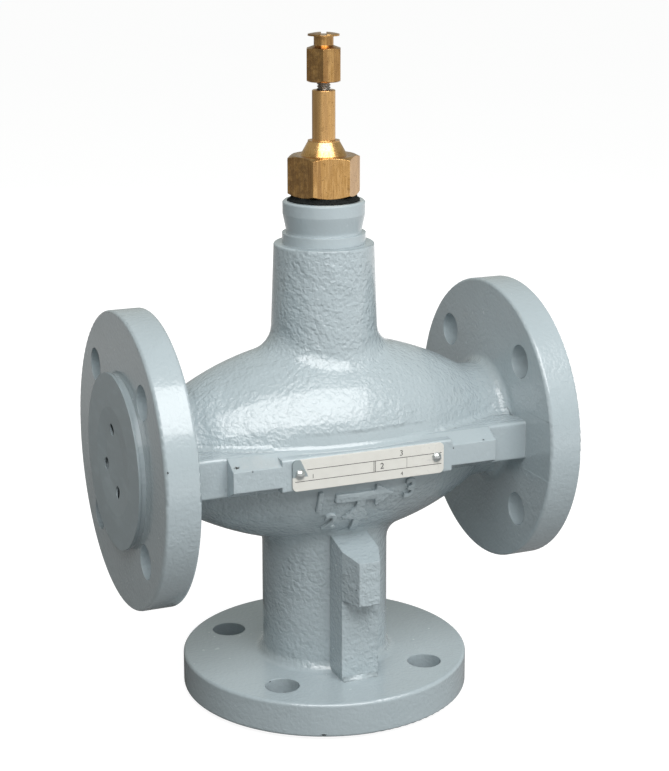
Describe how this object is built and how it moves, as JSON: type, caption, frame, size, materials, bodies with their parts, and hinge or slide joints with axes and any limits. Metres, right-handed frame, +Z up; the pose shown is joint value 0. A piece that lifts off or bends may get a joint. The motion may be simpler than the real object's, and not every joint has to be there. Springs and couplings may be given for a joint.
{
  "type": "three-way flanged control valve",
  "caption": "Cast three-way mixing valve with flanged ports in a tee, double-seated plug, and a brass gland with a stem button on top for an actuator.",
  "frame": {"origin": "centre of the lower port's sealing face", "axes": "+Z up the stem, +X from the covered inlet port to the common outlet port, nameplate facing -Y"},
  "size_m": [0.181, 0.12, 0.2754],
  "materials": {
    "body_paint": "semi-gloss blue-grey paint over a cast surface",
    "cover_paint": "semi-gloss blue-grey paint on a thin cover",
    "brass": "turned brass, lightly tarnished",
    "stem_steel": "ground stainless steel",
    "seat_steel": "turned stainless steel",
    "plug_brass": "turned brass",
    "gasket": "dark fibre sheet",
    "packing": "white fluoropolymer",
    "seal_rubber": "black rubber",
    "spring_steel": "drawn spring wire",
    "plate": "cream printed metal plate with thin dark rules",
    "rivet_steel": "bright rivet head"
  },
  "bodies": {
    "valve": {"valve_body": "body_paint", "upper_seat_ring": "seat_steel", "lower_seat_ring": "seat_steel", "gland_housing": "brass", "bonnet_gasket": "gasket", "guide_bush": "plug_brass", "stem_o_ring": "seal_rubber", "packing_base_ring": "packing", "packing_ring_lower": "packing", "packing_ring_middle": "packing", "packing_ring_upper": "packing", "packing_top_ring": "packing", "packing_spring": "spring_steel", "thrust_washer": "seat_steel", "nameplate": "plate", "nameplate_rivet_left": "rivet_steel", "nameplate_rivet_right": "rivet_steel", "port_cover": "cover_paint"},
    "stem": {"valve_stem": "stem_steel", "valve_plug": "plug_brass", "plug_washer": "seat_steel", "plug_nut": "seat_steel", "stem_button": "brass"}
  },
  "joints": [
    {"name": "stem_lift", "type": "slide", "parent": "valve", "child": "stem", "axis": [0, 0, 1], "range_m": [0, 0.02]}
  ]
}
